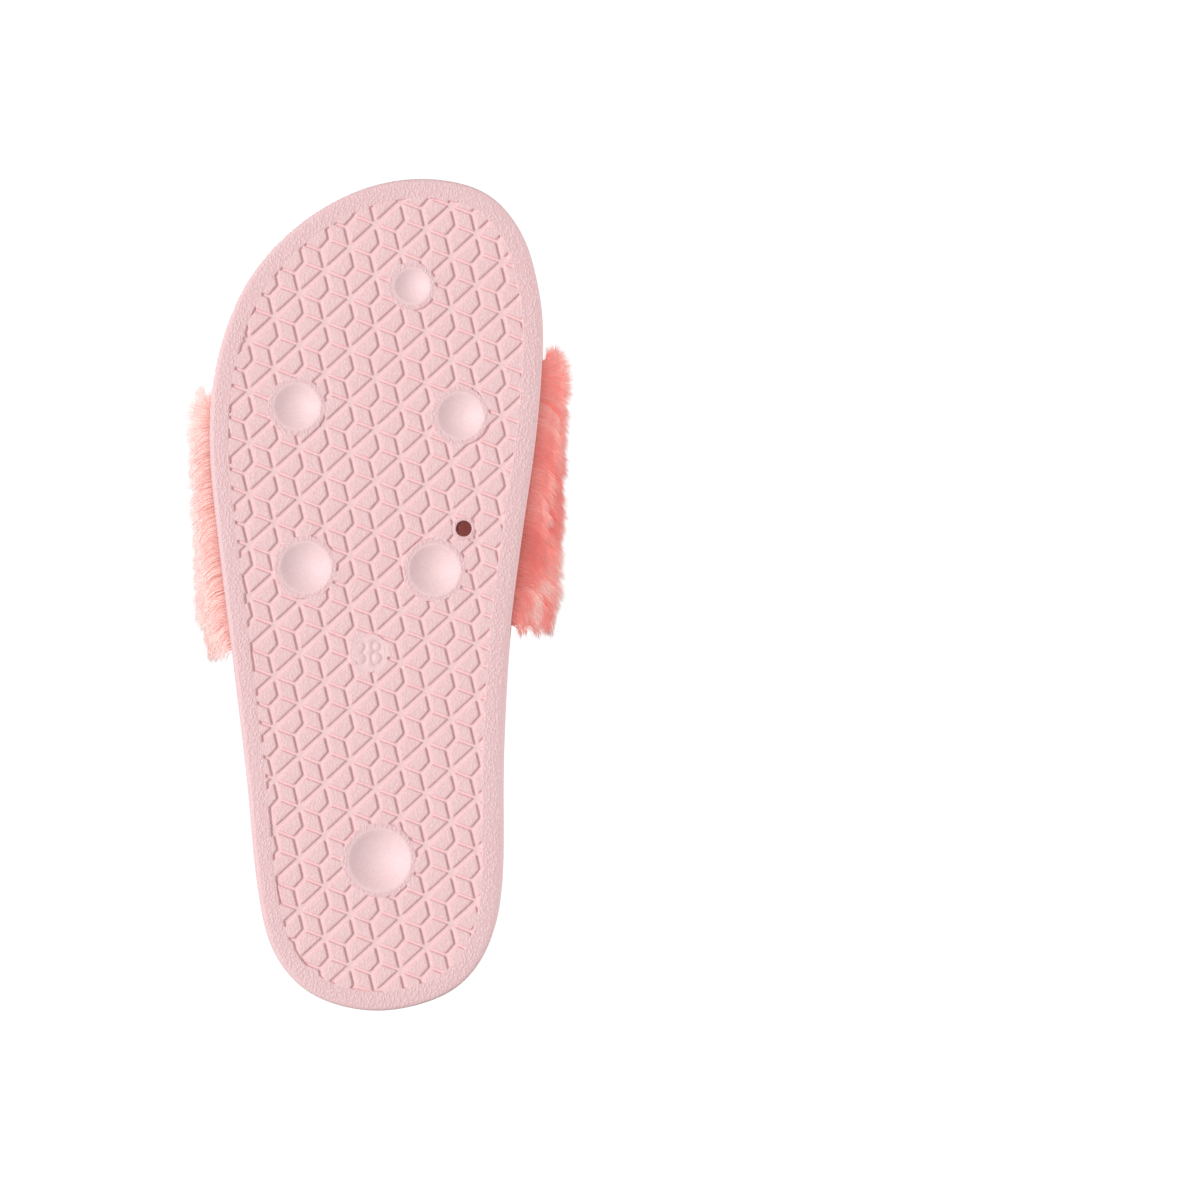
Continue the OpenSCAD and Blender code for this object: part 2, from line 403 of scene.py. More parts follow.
def tile_lines():
    """Every tile's lines and their heights; a line stops where it is well inside the border or a ring."""
    lines = []
    for i in range(-14, 15):
        for j in range(-24, 25):
            at = LATTICE_AT + i * STEP_U + j * STEP_V
            if not (-75 < at[0] < 75 and -145 < at[1] < 145):
                continue
            for tile, halves in CELL_TILES:
                quad = np.array(tile) + at
                depth = border_depth(split_sides(quad, 1.5))
                if depth.max() < LAND_KEPT:
                    continue
                for off, height in WALL:
                    loop = rounded_inset(quad, np.array(halves) - off)
                    if depth.min() > 1.5:
                        lines.append((loop, height, None))
                        continue
                    loop = split_sides(loop, 1.0)
                    kept = border_depth(loop) > LAND_KEPT
                    if kept.any():
                        lines.append((loop, height, kept))
    return lines


def arc(centre, radii, start, end, steps):
    a = np.radians(np.linspace(start, end, steps))
    return np.stack([centre[0] + radii[0] * np.cos(a), centre[1] + radii[1] * np.sin(a)], 1)


def size_digits():
    """The strokes of the two size digits, in reading order for someone who looks up at the sole."""
    x3, x8 = DISC_AT[0] - 2.35, DISC_AT[0] + 2.4
    y = DISC_AT[1]
    top = arc((x3, y - 1.8), (1.4, 1.7), -150, 84, 12)
    low = arc((x3, y + 1.75), (1.6, 1.85), -84, 150, 14)
    ring_top = arc((x8, y - 1.9), (1.35, 1.55), 0, 360, 17)
    ring_low = arc((x8, y + 1.65), (1.65, 1.95), 0, 360, 19)
    return [(np.vstack([top, low]), False), (ring_top[:-1], True), (ring_low[:-1], True)]


def stroke_sides(line, closed, half):
    """Closed lines on both sides of a stroke."""
    if closed:
        n = inward_normals(line)
        return [line + half * n, line - half * n]
    along = np.gradient(line, axis=0)
    n = np.stack([-along[:, 1], along[:, 0]], 1) / np.hypot(*along.T)[:, None]
    tip = along[-1] / np.hypot(*along[-1]) * half
    tail = along[0] / np.hypot(*along[0]) * half
    left, right = line + half * n, line - half * n
    return [np.vstack([left, line[-1] + tip, right[::-1], line[0] - tail])]


digits = size_digits()


def stroke_distance(points):
    best = np.full(len(points), 1e9)
    for line, closed in digits:
        last = np.vstack([line, line[:1]]) if closed else line
        for a, b in zip(last[:-1], last[1:]):
            best = np.minimum(best, segment_distance(points, a, b))
    return best


def cap_height(rho, radius):
    """The depth of a dimple at a distance from its centre, with a softened lip."""
    depth = DIMPLE_SHARE * radius
    ball = (radius**2 + depth**2) / (2 * depth)
    raw = np.sqrt(np.maximum(ball**2 - rho**2, 0)) - (ball - depth)
    lip = 0.5 * (raw + np.sqrt(raw**2 + DIMPLE_LIP**2))
    return lip * smooth((radius + 1.6 - rho) / 1.0)


# The raised line round the tie hole: distance from the hole's centre, and height
BEAD = np.array(
    [[2.4, 0.30], [2.5, 0.07], [2.75, 0.0], [3.0, 0.05], [3.2, 0.16], [3.5, 0.16], [3.8, 0.0]]
)


def relief(points):
    """The height of the sole's underside over the floor."""
    depth = border_depth(points)
    z = wall_height(np.minimum(channel_depth(points), depth))
    for x, y, radius in DIMPLES:
        rho = np.hypot(points[:, 0] - x, points[:, 1] - y)
        near = rho < radius + 1.5
        z[near] = np.maximum(z[near], cap_height(rho[near], radius))
    rho = np.hypot(*(points - TIE_HOLE).T)
    near = rho < 3.8
    z[near] = np.maximum(z[near] * (rho[near] > 3.5), np.interp(rho[near], BEAD[:, 0], BEAD[:, 1]))
    rho = np.hypot(*(points - DISC_AT).T)
    near = rho < DISC_RADIUS
    base = DISC_DEPTH * smooth((DISC_RADIUS - 0.15 - rho[near]) / 0.5)
    stroke = np.clip(1 - stroke_distance(points[near]) / DIGIT_HALF, 0, 1)
    z[near] = np.maximum(z[near], base + DIGIT_DEPTH * stroke)
    return z


class Plan:
    """Points and lines in plan, cut into triangles that keep every line."""

    def __init__(self):
        self.points, self.edges, self.given, self.count = [], [], [], 0

    def add(self, loop, height=None, closed=True, kept=None):
        """Adds a line of points; where kept is given, only those points and the lines between them."""
        kept = np.ones(len(loop), bool) if kept is None else kept
        new = self.count + np.cumsum(kept) - 1
        n = len(loop)
        for k in range(n if closed else n - 1):
            if kept[k] and kept[(k + 1) % n]:
                self.edges.append((new[k], new[(k + 1) % n]))
        self.points.append(loop[kept])
        self.given.append(np.full(kept.sum(), np.nan if height is None else height))
        self.count += kept.sum()
        return new[kept]

    def triangles(self):
        pts = np.vstack(self.points)
        edges = [(int(a), int(b)) for a, b in self.edges]
        out = delaunay_2d_cdt([Vector(p) for p in pts], edges, [], 0, 1e-5)
        xy = np.array([tuple(v) for v in out[0]])
        faces = np.array(out[2], int)
        where = np.full(len(pts), -1)
        given = np.full(len(xy), np.nan)
        flat = np.concatenate(self.given)
        for new, olds in enumerate(out[3]):
            for old in olds:
                where[old] = new
                given[new] = flat[old]
        return xy, faces, where, given


# ---- the outsole

NOTCH_HEIGHT = 8.1
# Where the strap stands in each side, from front to rear, with the CAD's gap
STRAP_FOOT = {1: (-70.7, 9.7), -1: (-58.2, 17.2)}
END_GAP = 0.03


def columns_with_notches():
    """The outline with a pair of columns at each end of both notches, and each column's top."""
    line = outline
    for side, ends in STRAP_FOOT.items():
        for y in ends:
            x = edge_x(y, side)
            k = int(np.argmin(np.hypot(line[:, 0] - x, line[:, 1] - y)))
            run = line[(k + 1) % len(line)] - line[k - 1]
            step = np.array([run[0] / run[1], 1.0]) * math.copysign(END_GAP, run[1])
            at = np.array([x, y])
            line = np.vstack([line[:k], [at - step, at + step], line[k + 1 :]])
    top = rim_height(line[:, 1])
    for side, (front, rear) in STRAP_FOOT.items():
        held = (line[:, 0] * side > 0) & (line[:, 1] > front) & (line[:, 1] < rear)
        top[held] = NOTCH_HEIGHT
    return line, top


def turned(xy, tris, up):
    """Triangles in plan turned to face up or down."""
    area = np.cross(xy[tris[:, 1]] - xy[tris[:, 0]], xy[tris[:, 2]] - xy[tris[:, 0]])
    wrong = area < 0 if up else area > 0
    tris[wrong] = tris[wrong][:, ::-1]
    return tris


def within(xy, tris, line):
    """The triangles inside a closed line and outside the tie hole."""
    middle = xy[tris].mean(1)
    clear = np.hypot(*(middle - TIE_HOLE).T) > TIE_RADIUS * 0.995
    return tris[(inside_depth(middle, line) > 0) & clear]


def floor_with_hole(line):
    """A flat area inside a line, without the tie hole: points, triangles and the two edges."""
    plan = Plan()
    edge = plan.add(line)
    hole = plan.add(circle(TIE_HOLE, TIE_RADIUS, 40))
    grid = np.meshgrid(np.arange(-40, 41, 8.0), np.arange(-115, 118, 6.0))
    grid = np.stack(grid, -1).reshape(-1, 2)
    grid = grid[inside_depth(grid, line) > 3]
    for point in grid[np.hypot(*(grid - TIE_HOLE).T) > TIE_RADIUS + 2]:
        plan.add(point[None], closed=False)
    xy, tris, where, _ = plan.triangles()
    return xy, turned(xy, within(xy, tris, line), True), where[edge], where[hole]


DIMPLE_RINGS = (0.2, 0.4, 0.58, 0.74, 0.86, 0.94, 1.0)
LIP_RINGS = (0.3, 0.7, 1.3)
FLOOR_ARC = (22.5, 45, 67.5, 90)
SIDE_SHARES = (0.25, 0.5, 0.75, 1.0)
SIDE_DROP = 1.3
# The rim, as distances in from the outline and down from the rim's top
RIM_PROFILE = [(0.12, 0.7), (0.45, 0.25), (1.1, 0.0)]
RIM_PROFILE += [(RIM_WIDTH - 0.8, 0.0), (RIM_WIDTH - 0.2, 0.2), (RIM_WIDTH, 0.7)]
# The bake map: millimetres over its whole width, the middles of its two flat columns, and its side strips
MAP_SPAN = 256
UNDER_COLUMN, TOP_COLUMN = 0.205, 0.625
SIDE_COLUMN, SIDE_STEP, SIDE_WIDTH = 0.845, 0.05, 0.045


def plan_uv(points, faces, middle):
    """A flat map of faces seen from above."""
    p = points[faces.ravel()]
    return np.column_stack([middle + p[:, 0] / MAP_SPAN, 0.5 + p[:, 1] / MAP_SPAN])


def side_uv(column, count, row, rows):
    """A side wall's map, in three tall strips, for quads in a column of the outline and a row."""
    third = count // 3 + 1
    band = column // third
    uv = np.zeros((len(column), 4, 2))
    for corner, (right, up) in enumerate(((0, 0), (1, 0), (1, 1), (0, 1))):
        uv[:, corner, 0] = SIDE_COLUMN + SIDE_STEP * band + SIDE_WIDTH * (row + up) / rows
        uv[:, corner, 1] = 0.01 + 0.98 * (column + right - band * third) / (third + 1)
    return uv


def drop_unused(points, faces):
    """The points that the faces use, the faces over them, and which points those are."""
    used = np.zeros(len(points), bool)
    for f in faces:
        used[f.ravel()] = True
    new = np.cumsum(used) - 1
    return points[used], [new[f] for f in faces], used


def underside_plan(line, inward):
    """Every line of the underside in plan, and the places of its outer edge and the tie hole's."""
    plan = Plan()
    foot = plan.add(line + EDGE_ROUND * inward, 0.0)
    field_line = resample(field_loop, 420)
    for off in WALL[:, 0]:
        plan.add(field_line + off * inward_normals(field_line))
        for centre, radius in holes[:-2]:
            plan.add(circle(centre, radius + off, 64))
        plan.add(circle(DISC_AT, DISC_RADIUS + off, 48))
    for x, y, radius in DIMPLES:
        for rho in [share * radius for share in DIMPLE_RINGS] + [radius + wider for wider in LIP_RINGS]:
            plan.add(circle((x, y), rho, 56))
        plan.add(np.array([[x, y]]), closed=False)
    bore = plan.add(circle(TIE_HOLE, TIE_RADIUS, 40), BEAD[0, 1])
    for rho in BEAD[1:, 0]:
        plan.add(circle(TIE_HOLE, rho, 40))
    for inset in (0.9, 0.55):
        plan.add(circle(DISC_AT, DISC_RADIUS - inset, 48))
    for stroke, closed in digits:
        plan.add(stroke, closed=closed)
        for side in stroke_sides(stroke, closed, DIGIT_HALF):
            plan.add(side)
    for loop, height, kept in tile_lines():
        plan.add(loop, height, kept=kept)
    return plan, foot, bore


def side_rings(line, inward, top):
    """The side, the rim and the recess's wall as rings over the same columns, from the floor up."""
    rings = []
    for a in np.radians(FLOOR_ARC):
        low = np.full(len(line), EDGE_ROUND * (1 - math.cos(a)))
        rings.append(np.column_stack([line + EDGE_ROUND * (1 - math.sin(a)) * inward, low]))
    for share in SIDE_SHARES:
        rings.append(np.column_stack([line, EDGE_ROUND + (top - SIDE_DROP - EDGE_ROUND) * share]))
    for inset, drop in RIM_PROFILE:
        rings.append(np.column_stack([line + inset * inward, top - drop]))
    floor = rim_height(line[:, 1]) - RECESS_DEPTH
    rings.append(np.column_stack([line + RIM_WIDTH * inward, floor]))
    return rings


def underside_tone(xy, z, field):
    """Each point's grain, its share of the field's colour, its share of the bowls' paler colour, which is
    painted sheen, and its share of the painted shade on the channel walls.
    """
    grain = np.where(field < -0.3, 1.0, np.where(z < 0.05, 0.55, 0.15))
    bowl = np.zeros(len(xy))
    for x, y, radius in DIMPLES:
        rho = np.hypot(xy[:, 0] - x, xy[:, 1] - y)
        grain[rho < radius + 0.4] = 0.0
        # Painted sheen: the bowls get a share of a paler colour
        bowl = np.maximum(bowl, smooth((radius + 0.3 - rho) / 0.8))
    grain[np.hypot(*(xy - DISC_AT).T) < DISC_RADIUS] = 0.3
    # Painted shade: the channel walls, between their lip and their floor, get a share of a deep red
    wall = np.interp(z, [0.03, 0.08, 0.69, 0.75], [0, 1, 1, 0]) * (field > -0.3)
    return np.stack([grain, np.clip(0.5 + field / 0.8, 0, 1), bowl, wall], 1)


def make_outsole():
    line, top = columns_with_notches()
    inward = inward_normals(soften(line, 2))
    n = len(line)
    plan, foot, bore = underside_plan(line, inward)
    xy, tris, where, given = plan.triangles()
    tris = turned(xy, within(xy, tris, line + EDGE_ROUND * inward), False)

    z = relief(xy)
    field = border_depth(xy)
    on_tile = ~np.isnan(given) & (field > 0)
    z[on_tile] = np.minimum(given[on_tile], wall_height(field[on_tile]))
    z[where[foot]] = 0.0
    z[where[bore]] = BEAD[0, 1]
    first = len(xy)

    rings = side_rings(line, inward, top)
    index = [where[foot]] + [first + k * n + np.arange(n) for k in range(len(rings))]
    quads = [np.stack([a, np.roll(a, -1), np.roll(b, -1), b], 1) for a, b in zip(index[:-1], index[1:])]
    quads = np.vstack(quads)

    # The recess's floor shares the last ring, and the tie hole's wall joins it to the underside
    fxy, ftris, edge_loop, hole_loop = floor_with_hole(line + RIM_WIDTH * inward)
    remap = np.arange(len(fxy)) + first + len(rings) * n
    remap[edge_loop] = index[-1]
    low, high = where[bore], remap[hole_loop]
    wall = np.stack([low, high, np.roll(high, -1), np.roll(low, -1)], 1)

    recess = np.column_stack([fxy, rim_height(fxy[:, 1]) - RECESS_DEPTH])
    points = np.vstack([np.column_stack([xy, z]), *rings, recess])
    tone = np.zeros((len(points), 4))
    tone[:, 0] = 0.7
    tone[:first] = underside_tone(xy, z, field)
    points, faces, used = drop_unused(points, [tris, quads, remap[ftris], wall])

    # One flat map for the underside, one for the top, and the side wall in three strips
    tris, quads, floor, wall = faces
    row = np.repeat(np.arange(len(rings)), n) - len(FLOOR_ARC)
    over = row >= len(SIDE_SHARES)
    upright = (row >= 0) & ~over
    quad_uv = plan_uv(points, quads, np.repeat(np.where(over, TOP_COLUMN, UNDER_COLUMN), 4))
    quad_uv = quad_uv.reshape(-1, 4, 2)
    column = np.tile(np.arange(n), len(rings))
    quad_uv[upright] = side_uv(column[upright], n, row[upright], len(SIDE_SHARES))
    uv = [plan_uv(points, tris, UNDER_COLUMN), quad_uv.reshape(-1, 2)]
    uv += [plan_uv(points, f, TOP_COLUMN) for f in (floor, wall)]
    return make_mesh("outsole_foam", points, faces, uv=np.vstack(uv), tone=tone[used])


def sole_material():
    s = Shader("sole foam", 0.52, 0.35)
    tone = s.add("Attribute", attribute_name="tone")
    # The tone's alpha is the share of painted shade on the channel walls
    wall = tone.outputs["Alpha"]
    grain, tinted, bowl = s.add("SeparateColor", inputs={0: tone.outputs["Color"]}).outputs[:3]
    cloud = s.noise(28, 3)
    fleck = s.noise(420, 2)
    speck = s.noise(1500, 1)
    border = (0.86, 0.60, 0.61, 1)
    field = (0.86, 0.585, 0.59, 1)
    # A paler pink that paints the sheen of the smooth dimple bowls
    bowl_sheen = (0.86, 0.62, 0.635, 1)
    base = s.mix(tinted, border, field)
    base = s.mix(bowl, base, bowl_sheen)
    # Painted shade: the channel walls are darkened towards a deep red
    base = s.mix(s.math("MULTIPLY", wall, 0.42), base, (0.82, 0.33, 0.35, 1))
    base = s.grade(cloud, 0.35, 0.7, base, (0.86, 0.53, 0.54, 1), 0.3)
    base = s.grade(fleck, 0.4, 0.75, base, linear((250, 226, 224)), 0.12)
    base = s.grade(speck, 0.35, 0.7, base, (0.95, 0.74, 0.75, 1), 0.40)
    # Pebbles 0.68 by 1.08 mm, as in the photo, and 0.8 mm high on the side
    pits = s.spread(s.cells(1.0, s.place((1 / 0.00068, 1 / 0.00108, 1 / 0.0008))), 0.15, 0.62)
    # Painted shade: the pebbles' pits are darkened towards a deeper pink
    shade = s.math("MULTIPLY", s.math("MULTIPLY", pits, grain), 0.34)
    s.colour(s.mix(shade, base, linear((214, 160, 166))))
    s.rough(s.spread(fleck, 0.3, 0.7, 0.46, 0.62))
    height = s.math("MULTIPLY", s.math("SUBTRACT", 1.0, pits), grain)
    s.bump(height, 0.00015)
    return s.material


dress(make_outsole(), sole_material(), ["outsole"])

# ---- the footbed

FOOTBED_INSET = 6.5
FOOTBED_DROP = 1.0
DISH_DEPTH = 2.2
DISH_REACH = 14.0
NUB_PITCH = 6.0
NUB_RADIUS = 1.3
NUB_HEIGHT = 0.5
NUB_RINGS = [
    (NUB_RADIUS + 0.35, 0.0, 12),
    (NUB_RADIUS, 0.0, 12),
    (NUB_RADIUS * 0.8, NUB_HEIGHT * 0.55, 12),
    (NUB_RADIUS * 0.45, NUB_HEIGHT * 0.93, 8),
]


def nub_centres(line):
    rows = np.arange(-118, 122, NUB_PITCH * 0.866)
    columns = np.arange(-48, 49, NUB_PITCH)
    spots = np.array([(x + (k % 2) * NUB_PITCH / 2, y) for k, y in enumerate(rows) for x in columns])
    spots = spots[inside_depth(spots, line) > 5]
    return spots[np.hypot(*(spots - TIE_HOLE).T) > 5]


def make_footbed():
    line = outline + FOOTBED_INSET * inward_normals(outline)
    n = len(line)
    plan = Plan()
    rim = plan.add(line)
    coarse = resample(line, 300)
    for off in (0.3, 0.8, 1.6, 3.2):
        plan.add(coarse + off * inward_normals(coarse))
    hole = plan.add(circle(TIE_HOLE, TIE_RADIUS, 40))
    plan.add(circle(TIE_HOLE, TIE_RADIUS + 0.5, 40))
    for spot in nub_centres(line):
        for radius, height, count in NUB_RINGS:
            plan.add(circle(spot, radius, count), height)
        plan.add(spot[None], NUB_HEIGHT, closed=False)
    xy, tris, where, nub = plan.triangles()
    tris = turned(xy, within(xy, tris, line), True)
    depth = inside_depth(xy, line)
    z = rim_height(xy[:, 1]) - FOOTBED_DROP - DISH_DEPTH * smooth(depth / DISH_REACH)
    z -= 0.6 * np.clip(1 - depth / 1.2, 0, 1) ** 2
    z -= 0.35 * np.clip(1 - (np.hypot(*(xy - TIE_HOLE).T) - TIE_RADIUS) / 0.6, 0, 1)
    z += np.nan_to_num(nub)
    top = np.column_stack([xy, z])
    fxy, ftris, edge, low_hole = floor_with_hole(line)
    base = np.column_stack([fxy, rim_height(fxy[:, 1]) - RECESS_DEPTH])
    points = np.vstack([top, base])
    under = ftris[:, ::-1] + len(top)
    rim, hole, edge, low_hole = where[rim], where[hole], edge + len(top), low_hole + len(top)
    side = np.stack([edge, np.roll(edge, -1), np.roll(rim, -1), rim], 1)
    bore = np.stack([low_hole, hole, np.roll(hole, -1), np.roll(low_hole, -1)], 1)
    uv = [
        plan_uv(points, tris, UNDER_COLUMN),
        plan_uv(points, under, TOP_COLUMN),
        plan_uv(points, bore, UNDER_COLUMN),
    ]
    uv.append(side_uv(np.arange(n), n, 0, 1).reshape(-1, 2))
    points, faces, _ = drop_unused(points, [tris, under, bore, side])
    return make_mesh("footbed_foam", points, faces, uv=np.vstack(uv))


def footbed_material():
    s = Shader("footbed foam", 0.56, 0.35)
    cloud = s.noise(35, 3)
    fleck = s.noise(500, 2)
    base = s.grade(cloud, 0.35, 0.7, (0.83, 0.52, 0.53, 1), (0.86, 0.57, 0.575, 1))
    pits = s.spread(s.cells(1.0, s.place([1 / 0.0007] * 3)), 0.2, 0.65)
    # Painted shade: the foam's pits are darkened
    s.colour(s.mix(s.math("MULTIPLY", pits, 0.14), base, (0.62, 0.33, 0.35, 1)))
    s.rough(s.spread(fleck, 0.3, 0.7, 0.5, 0.66))
    s.bump(s.math("SUBTRACT", 1.0, pits), 0.0001)
    return s.material


dress(make_footbed(), footbed_material(), ["footbed"])

# ---- the strap's shape, as in the CAD

ARCH = {1: 43.3, -1: 45.6}
ARCH_TOP = (61.0, 69.0)
ARCH_FOOT = 8.3
ARCH_POWER = 0.86
BULGE_HEIGHT = 22.0
STRAP_INSET = 5.0
FRONT = (-70.5, -58.0, 5.0)
REAR = (9.5, 17.0, -13.0)
LINING = 0.8
BOARD_TOP = 1.8
FOAM_TOP = 4.3
TAPE_WIDTH = 1.5
TAPE_ROUNDING = 0.6
PUCKERS, PUCKER_DEPTH = 40, 0.06
ARCH_STEPS = 96


def edge_y(u, ends):
    medial, lateral, bow = ends
    share = (1 + np.cos(np.pi * u)) / 2
    return lateral + (medial - lateral) * share + bow * np.sin(np.pi * u)


def strap_point(u, y, d):
    """A point of the strap: u along the arch, y along the foot, d out from the lining's inner face."""
    u, y, d = np.broadcast_arrays(np.asarray(u, float), y, d)
    medial = u < 0.5
    side = np.where(medial, 1, -1)
    lean = smooth((y - FRONT[0]) / (REAR[1] - FRONT[0]))
    top = ARCH_TOP[0] + (ARCH_TOP[1] - ARCH_TOP[0]) * lean
    rise = np.clip(np.sin(np.pi * u), 0, 1)
    z = ARCH_FOOT + (top - ARCH_FOOT) * rise**ARCH_POWER
    pull = np.maximum(0, 1 - (z - ARCH_FOOT) / BULGE_HEIGHT) ** 2
    edge = np.where(medial, edge_x(y, 1), edge_x(y, -1)) - side * STRAP_INSET
    arch = np.where(medial, ARCH[1], -ARCH[-1])
    x = (arch + (edge - arch) * pull) * np.abs(np.cos(np.pi * u)) ** ARCH_POWER
    return np.stack([x + d * np.cos(np.pi * u), y, z + d * rise], -1)


def across(u, share, shift=0.0):
    """The place along the foot at a share of the strap's width, with a shift."""
    front, rear = edge_y(u, FRONT), edge_y(u, REAR)
    return front + (rear - front) * share + shift


arch_places = np.linspace(0, 1, ARCH_STEPS + 1)


def oriented(points, faces, uvs):
    """Turns a closed mesh's faces outward."""
    volume = 0.0
    for f in faces:
        for k in range(1, f.shape[1] - 1):
            a, b, c = points[f[:, 0]], points[f[:, k]], points[f[:, k + 1]]
            volume += np.einsum("ij,ij->", a, np.cross(b, c))
    if volume < 0:
        uvs = [uv.reshape(len(f), -1, 2)[:, ::-1].reshape(-1, 2) for f, uv in zip(faces, uvs)]
        faces = [f[:, ::-1] for f in faces]
    return faces, uvs


def tube_parts(grid, window=(0.0, 1.0), thin=False):
    """A closed tube through rows of rings, mapped to a window of U; strips close a thin one."""
    rows, cols = grid.shape[:2]
    points = grid.reshape(-1, 3)
    i, j = (a.ravel() for a in np.meshgrid(np.arange(rows - 1), np.arange(cols), indexing="ij"))
    here, beside = i * cols + j, i * cols + (j + 1) % cols
    side = np.stack([here, beside, beside + cols, here + cols], 1)
    low, wide = window[0], window[1] - window[0]
    uv = []
    for di, dj in ((0, 0), (0, 1), (1, 1), (1, 0)):
        uv.append(np.stack([low + wide * (j + dj) / cols, 0.02 + 0.96 * (i + di) / (rows - 1)], 1))
    faces, uvs = [side], [np.stack(uv, 1).reshape(-1, 2)]
    last = (rows - 1) * cols
    if thin:
        k = np.arange(cols // 2 - 1)
        strip = np.stack([k, cols - 1 - k, cols - 2 - k, k + 1], 1)
        for at, first in ((0.0, strip), (0.985, last + strip[:, ::-1])):
            u = np.stack([k, k, k + 1, k + 1], 1) / (cols / 2)
            v = np.tile([at, at + 0.015, at + 0.015, at], (len(k), 1))
            if first is not strip:
                u, v = u[:, ::-1], v[:, ::-1]
            faces.append(first)
            uvs.append(np.stack([low + wide * u, v], -1).reshape(-1, 2))
    else:
        ring = np.arange(cols)
        turn = 2 * np.pi * ring / cols
        spot = np.stack([low + wide * (0.5 + 0.4 * np.cos(turn)), 0.009 + 0.008 * np.sin(turn)], 1)
        faces += [ring[None, ::-1], (last + ring)[None]]
        uvs += [spot[::-1], spot + [0, 0.981]]
    faces, uvs = oriented(points, faces, uvs)
    return points, faces, uvs


def join_parts(name, parts):
    points, faces, uvs, count = [], [], [], 0
    for p, f, uv in parts:
        points.append(p)
        faces += [g + count for g in f]
        uvs += uv
        count += len(p)
    return make_mesh(name, np.vstack(points), faces, uv=np.vstack(uvs))


def shell_ring(shares, low, top, margin):
    """A strap layer's grid: up one side of the thickness and back down the other."""
    u = arch_places[:, None]
    shift = margin * (1 - 2 * shares)
    y = across(u, shares, shift)
    upper = strap_point(u, y, top)
    lower = strap_point(u, y, low)
    return np.concatenate([upper, lower[:, ::-1]], 1)


def cut_size(shares, d, margin):
    """The width, length and area that a strap layer was cut to, measured along its surface, in metres."""
    u = arch_places[:, None]
    g = strap_point(u, across(u, shares, margin * (1 - 2 * shares)), d) * MM
    along = np.linalg.norm(np.diff(g, axis=0), axis=2).sum(0)
    wide = np.linalg.norm(np.diff(g, axis=1), axis=2).sum(1)
    a, b = g[1:, 1:] - g[:-1, :-1], g[1:, :-1] - g[:-1, 1:]
    area = np.linalg.norm(np.cross(a, b), axis=2).sum() / 2
    return (float(wide.max()), float(along.max())), float(area)


def knit_material():
    s = Shader("knitted lining", 0.85, 0.2, sheen=0.25)
    at = s.map()
    ribs = s.wave("X", at, 52.0, 0.6, 8.0)
    loops = s.wave("Y", at, 60.0, 1.2, 6.0)
    weave = s.math("MULTIPLY", ribs, loops)
    cloud = s.noise(60, 3)
    base = s.grade(cloud, 0.3, 0.7, (0.70, 0.30, 0.27, 1), (0.78, 0.37, 0.33, 1))
    # Painted shade: the knit is darkened where its ribs and loops dip
    s.colour(s.grade(weave, 0.0, 0.5, s.mix(0.5, base, (0.52, 0.18, 0.16, 1)), base))
    s.rough(s.spread(cloud, 0.3, 0.7, 0.8, 0.95))
    s.bump(weave, 0.00015)
    return s.material


def padding_material():
    s = Shader("padding foam", 0.8, 0.25)
    pores = s.cells(1400)
    base = s.grade(s.noise(40), 0.3, 0.7, (0.86, 0.82, 0.66, 1), (0.9, 0.86, 0.72, 1))
    # Painted shade: the pores are darkened
    s.colour(s.grade(pores, 0.0, 0.6, (0.7, 0.64, 0.48, 1), base))
    s.rough(s.spread(pores, 0.0, 0.6, 0.95, 0.75))
    s.bump(pores, 0.0001)
    return s.material


def board_material():
    s = Shader("stiffener board", 0.7, 0.3)
    fibres = s.noise(1.0, 4, s.place((300, 1500, 1500)))
    s.colour(s.grade(fibres, 0.3, 0.7, (0.80, 0.79, 0.76, 1), (0.90, 0.89, 0.86, 1)))
    s.rough(s.spread(fibres, 0.3, 0.7, 0.62, 0.82))
    s.bump(fibres, 0.00008)
    return s.material


def tape_material():
    s = Shader("binding tape", 0.7, 0.3, sheen=0.2)
    at = s.map()
    ribs = s.wave("Y", at, 90.0, 0.4)
    base = s.grade(s.noise(50), 0.3, 0.7, (0.86, 0.48, 0.45, 1), (0.90, 0.54, 0.51, 1))
    # Painted shade: the tape is darkened in the hollows between its ribs
    s.colour(s.grade(ribs, 0.1, 0.7, s.mix(0.3, base, (0.5, 0.2, 0.2, 1)), base))
    s.rough(s.spread(ribs, 0, 1, 0.8, 0.62))
    s.bump(ribs, 0.00015)
    return s.material


def thread_material():
    s = Shader("sewing thread", 0.5, 0.45, sheen=0.3)
    at = s.map()
    ply = s.wave("DIAGONAL", at, 14.0)
    # Painted shade: the thread is darkened in the grooves between its plies
    s.colour(s.grade(ply, 0.1, 0.6, (0.72, 0.42, 0.42, 1), (0.93, 0.74, 0.74, 1)))
    s.rough(s.spread(ply, 0, 1, 0.7, 0.45))
    s.bump(ply, 0.0001)
    return s.material


LAYER_SHARES = np.linspace(0, 1, 25)


def make_lining():
    grid = shell_ring(LAYER_SHARES, 0.0, LINING, TAPE_WIDTH)
    return join_parts("strap_lining_cloth", [tube_parts(grid, thin=True)])


def make_foam_pad():
    """The foam padding, crowned across the strap and thinned where the tape holds it down."""
    crown = 0.55 + 0.45 * (1 - np.abs(2 * LAYER_SHARES - 1) ** 5)
    u = arch_places[:, None]
    ripple = 0.03 * np.sin(31 * u) * np.sin(9 * np.pi * LAYER_SHARES)
    top = BOARD_TOP + (FOAM_TOP - BOARD_TOP) * np.clip(crown - np.abs(ripple), 0.2, 0.995)
    grid = shell_ring(LAYER_SHARES, BOARD_TOP, top, TAPE_WIDTH)
    return join_parts("foam_pad", [tube_parts(grid, thin=True)])


